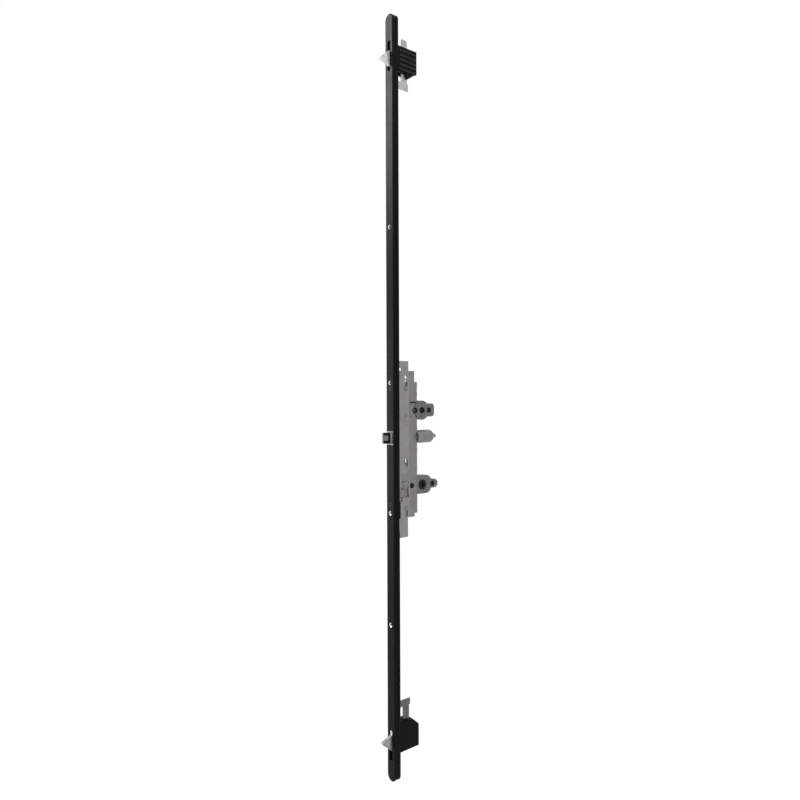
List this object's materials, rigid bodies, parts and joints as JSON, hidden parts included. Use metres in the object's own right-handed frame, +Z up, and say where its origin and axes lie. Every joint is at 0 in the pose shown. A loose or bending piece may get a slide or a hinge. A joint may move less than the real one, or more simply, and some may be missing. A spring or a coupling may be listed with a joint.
{
  "type": "multipoint door lock",
  "caption": "Long black faceplate channel with a central latch case, two hub arms, and swinging tongues at top and bottom.",
  "frame": {"origin": "centre of the faceplate's front, level with the handle spindle", "axes": "+X across the door edge, +Y into the door from the faceplate's front, +Z up along the faceplate"},
  "size_m": [0.0244, 0.1297, 1.4],
  "materials": {
    "black_channel": "black powder coat",
    "case_steel": "zinc-plated steel",
    "slide_steel": "rolled stainless steel",
    "rod_steel": "drawn steel",
    "bright_steel": "bright steel",
    "cast_metal": "die-cast, satin",
    "tube_metal": "satin steel",
    "spring_steel": "spring wire",
    "black_plastic": "moulded, fine matte",
    "inner_plastic": "moulded, smooth",
    "dark_screws": "blackened steel"
  },
  "bodies": {
    "lock_frame": {"faceplate_channel": "black_channel", "case_plate_right": "case_steel", "case_plate_left": "case_steel", "case_posts": "case_steel", "upper_case_block": "case_steel", "lower_case_block": "case_steel", "slide_guides": "case_steel", "arm_rivets": "case_steel", "arm_closing_rivets": "case_steel", "lever_pin": "case_steel", "top_tongue_pivot": "rod_steel", "bottom_tongue_pivot": "rod_steel", "latch_guide": "bright_steel", "case_screws": "bright_steel", "deadbolt_arm_right": "cast_metal", "deadbolt_arm_left": "cast_metal", "handle_arm_right": "cast_metal", "handle_arm_left": "cast_metal", "latch_tube": "tube_metal", "latch_spring": "spring_steel", "top_housing_right": "black_plastic", "top_housing_left": "black_plastic", "bottom_housing_right": "black_plastic", "bottom_housing_left": "black_plastic", "rod_guides": "inner_plastic", "latch_collar": "inner_plastic", "handle_bushes": "inner_plastic", "top_housing_screws": "dark_screws", "bottom_housing_screws": "dark_screws"},
    "upper_drive": {"upper_slide": "slide_steel", "drive_yoke": "slide_steel", "yoke_stud": "case_steel", "yoke_rivet": "case_steel", "upper_rod": "rod_steel", "upper_rod_pins": "rod_steel", "top_strip": "slide_steel", "top_strip_pin": "rod_steel"},
    "lower_drive": {"lower_slide": "slide_steel", "lower_rod": "rod_steel", "lower_rod_pins": "rod_steel", "bottom_strip": "slide_steel", "bottom_strip_pin": "rod_steel"},
    "deadbolt_hub": {"deadbolt_hub": "cast_metal"},
    "reversing_pinion": {"reversing_pinion": "slide_steel"},
    "top_tongue": {"top_tongue": "bright_steel"},
    "bottom_tongue": {"bottom_tongue": "bright_steel"},
    "handle_hub": {"handle_hub": "cast_metal"},
    "latch_lever": {"latch_lever": "slide_steel"},
    "latch": {"latch_bolt": "bright_steel", "latch_stem": "tube_metal"}
  },
  "joints": [
    {"name": "upper_drive_slide", "type": "slide", "parent": "lock_frame", "child": "upper_drive", "axis": [0, 0, 1], "range_m": [-0.01178, 0]},
    {"name": "lower_drive_slide", "type": "slide", "parent": "lock_frame", "child": "lower_drive", "axis": [0, 0, 1], "range_m": [0, 0.01178]},
    {"name": "deadbolt_hub_turn", "type": "hinge", "parent": "lock_frame", "child": "deadbolt_hub", "pos_m": [0, 0.06985, 0.1397], "axis": [1, 0, 0], "range_deg": [0, 90]},
    {"name": "reversing_pinion_turn", "type": "hinge", "parent": "lock_frame", "child": "reversing_pinion", "pos_m": [0.0082, 0.027, 0.002], "axis": [1, 0, 0], "range_deg": [0, 90]},
    {"name": "top_tongue_swing", "type": "hinge", "parent": "lock_frame", "child": "top_tongue", "pos_m": [0, 0.014, 0.778], "axis": [1, 0, 0], "range_deg": [-75, 0]},
    {"name": "bottom_tongue_swing", "type": "hinge", "parent": "lock_frame", "child": "bottom_tongue", "pos_m": [0, 0.014, -0.461], "axis": [1, 0, 0], "range_deg": [0, 75]},
    {"name": "latch_slide", "type": "slide", "parent": "lock_frame", "child": "latch", "axis": [0, 1, 0], "range_m": [0, 0.0127], "stiffness_N_per_m": 300, "springref_m": -0.01, "deforming": ["latch_spring"]},
    {"name": "latch_lever_turn", "type": "hinge", "parent": "lock_frame", "child": "latch_lever", "pos_m": [0, 0.0304, 0.036], "axis": [1, 0, 0], "range_deg": [-13.52, 0]},
    {"name": "handle_hub_turn", "type": "hinge", "parent": "lock_frame", "child": "handle_hub", "pos_m": [0, 0.06985, 0], "axis": [1, 0, 0], "range_deg": [0, 45.01]}
  ],
  "couplings": [
    {"joint": "lower_drive_slide", "follows": "upper_drive_slide", "ratio": -1},
    {"joint": "deadbolt_hub_turn", "follows": "upper_drive_slide", "rad_per_m": -133.33},
    {"joint": "reversing_pinion_turn", "follows": "upper_drive_slide", "rad_per_m": -133.33},
    {"joint": "top_tongue_swing", "follows": "upper_drive_slide", "rad_per_m": 111.11},
    {"joint": "bottom_tongue_swing", "follows": "upper_drive_slide", "rad_per_m": -111.11},
    {"joint": "latch_lever_turn", "follows": "latch_slide", "rad_per_m": -18.561},
    {"joint": "handle_hub_turn", "follows": "latch_slide", "rad_per_m": 61.842}
  ]
}
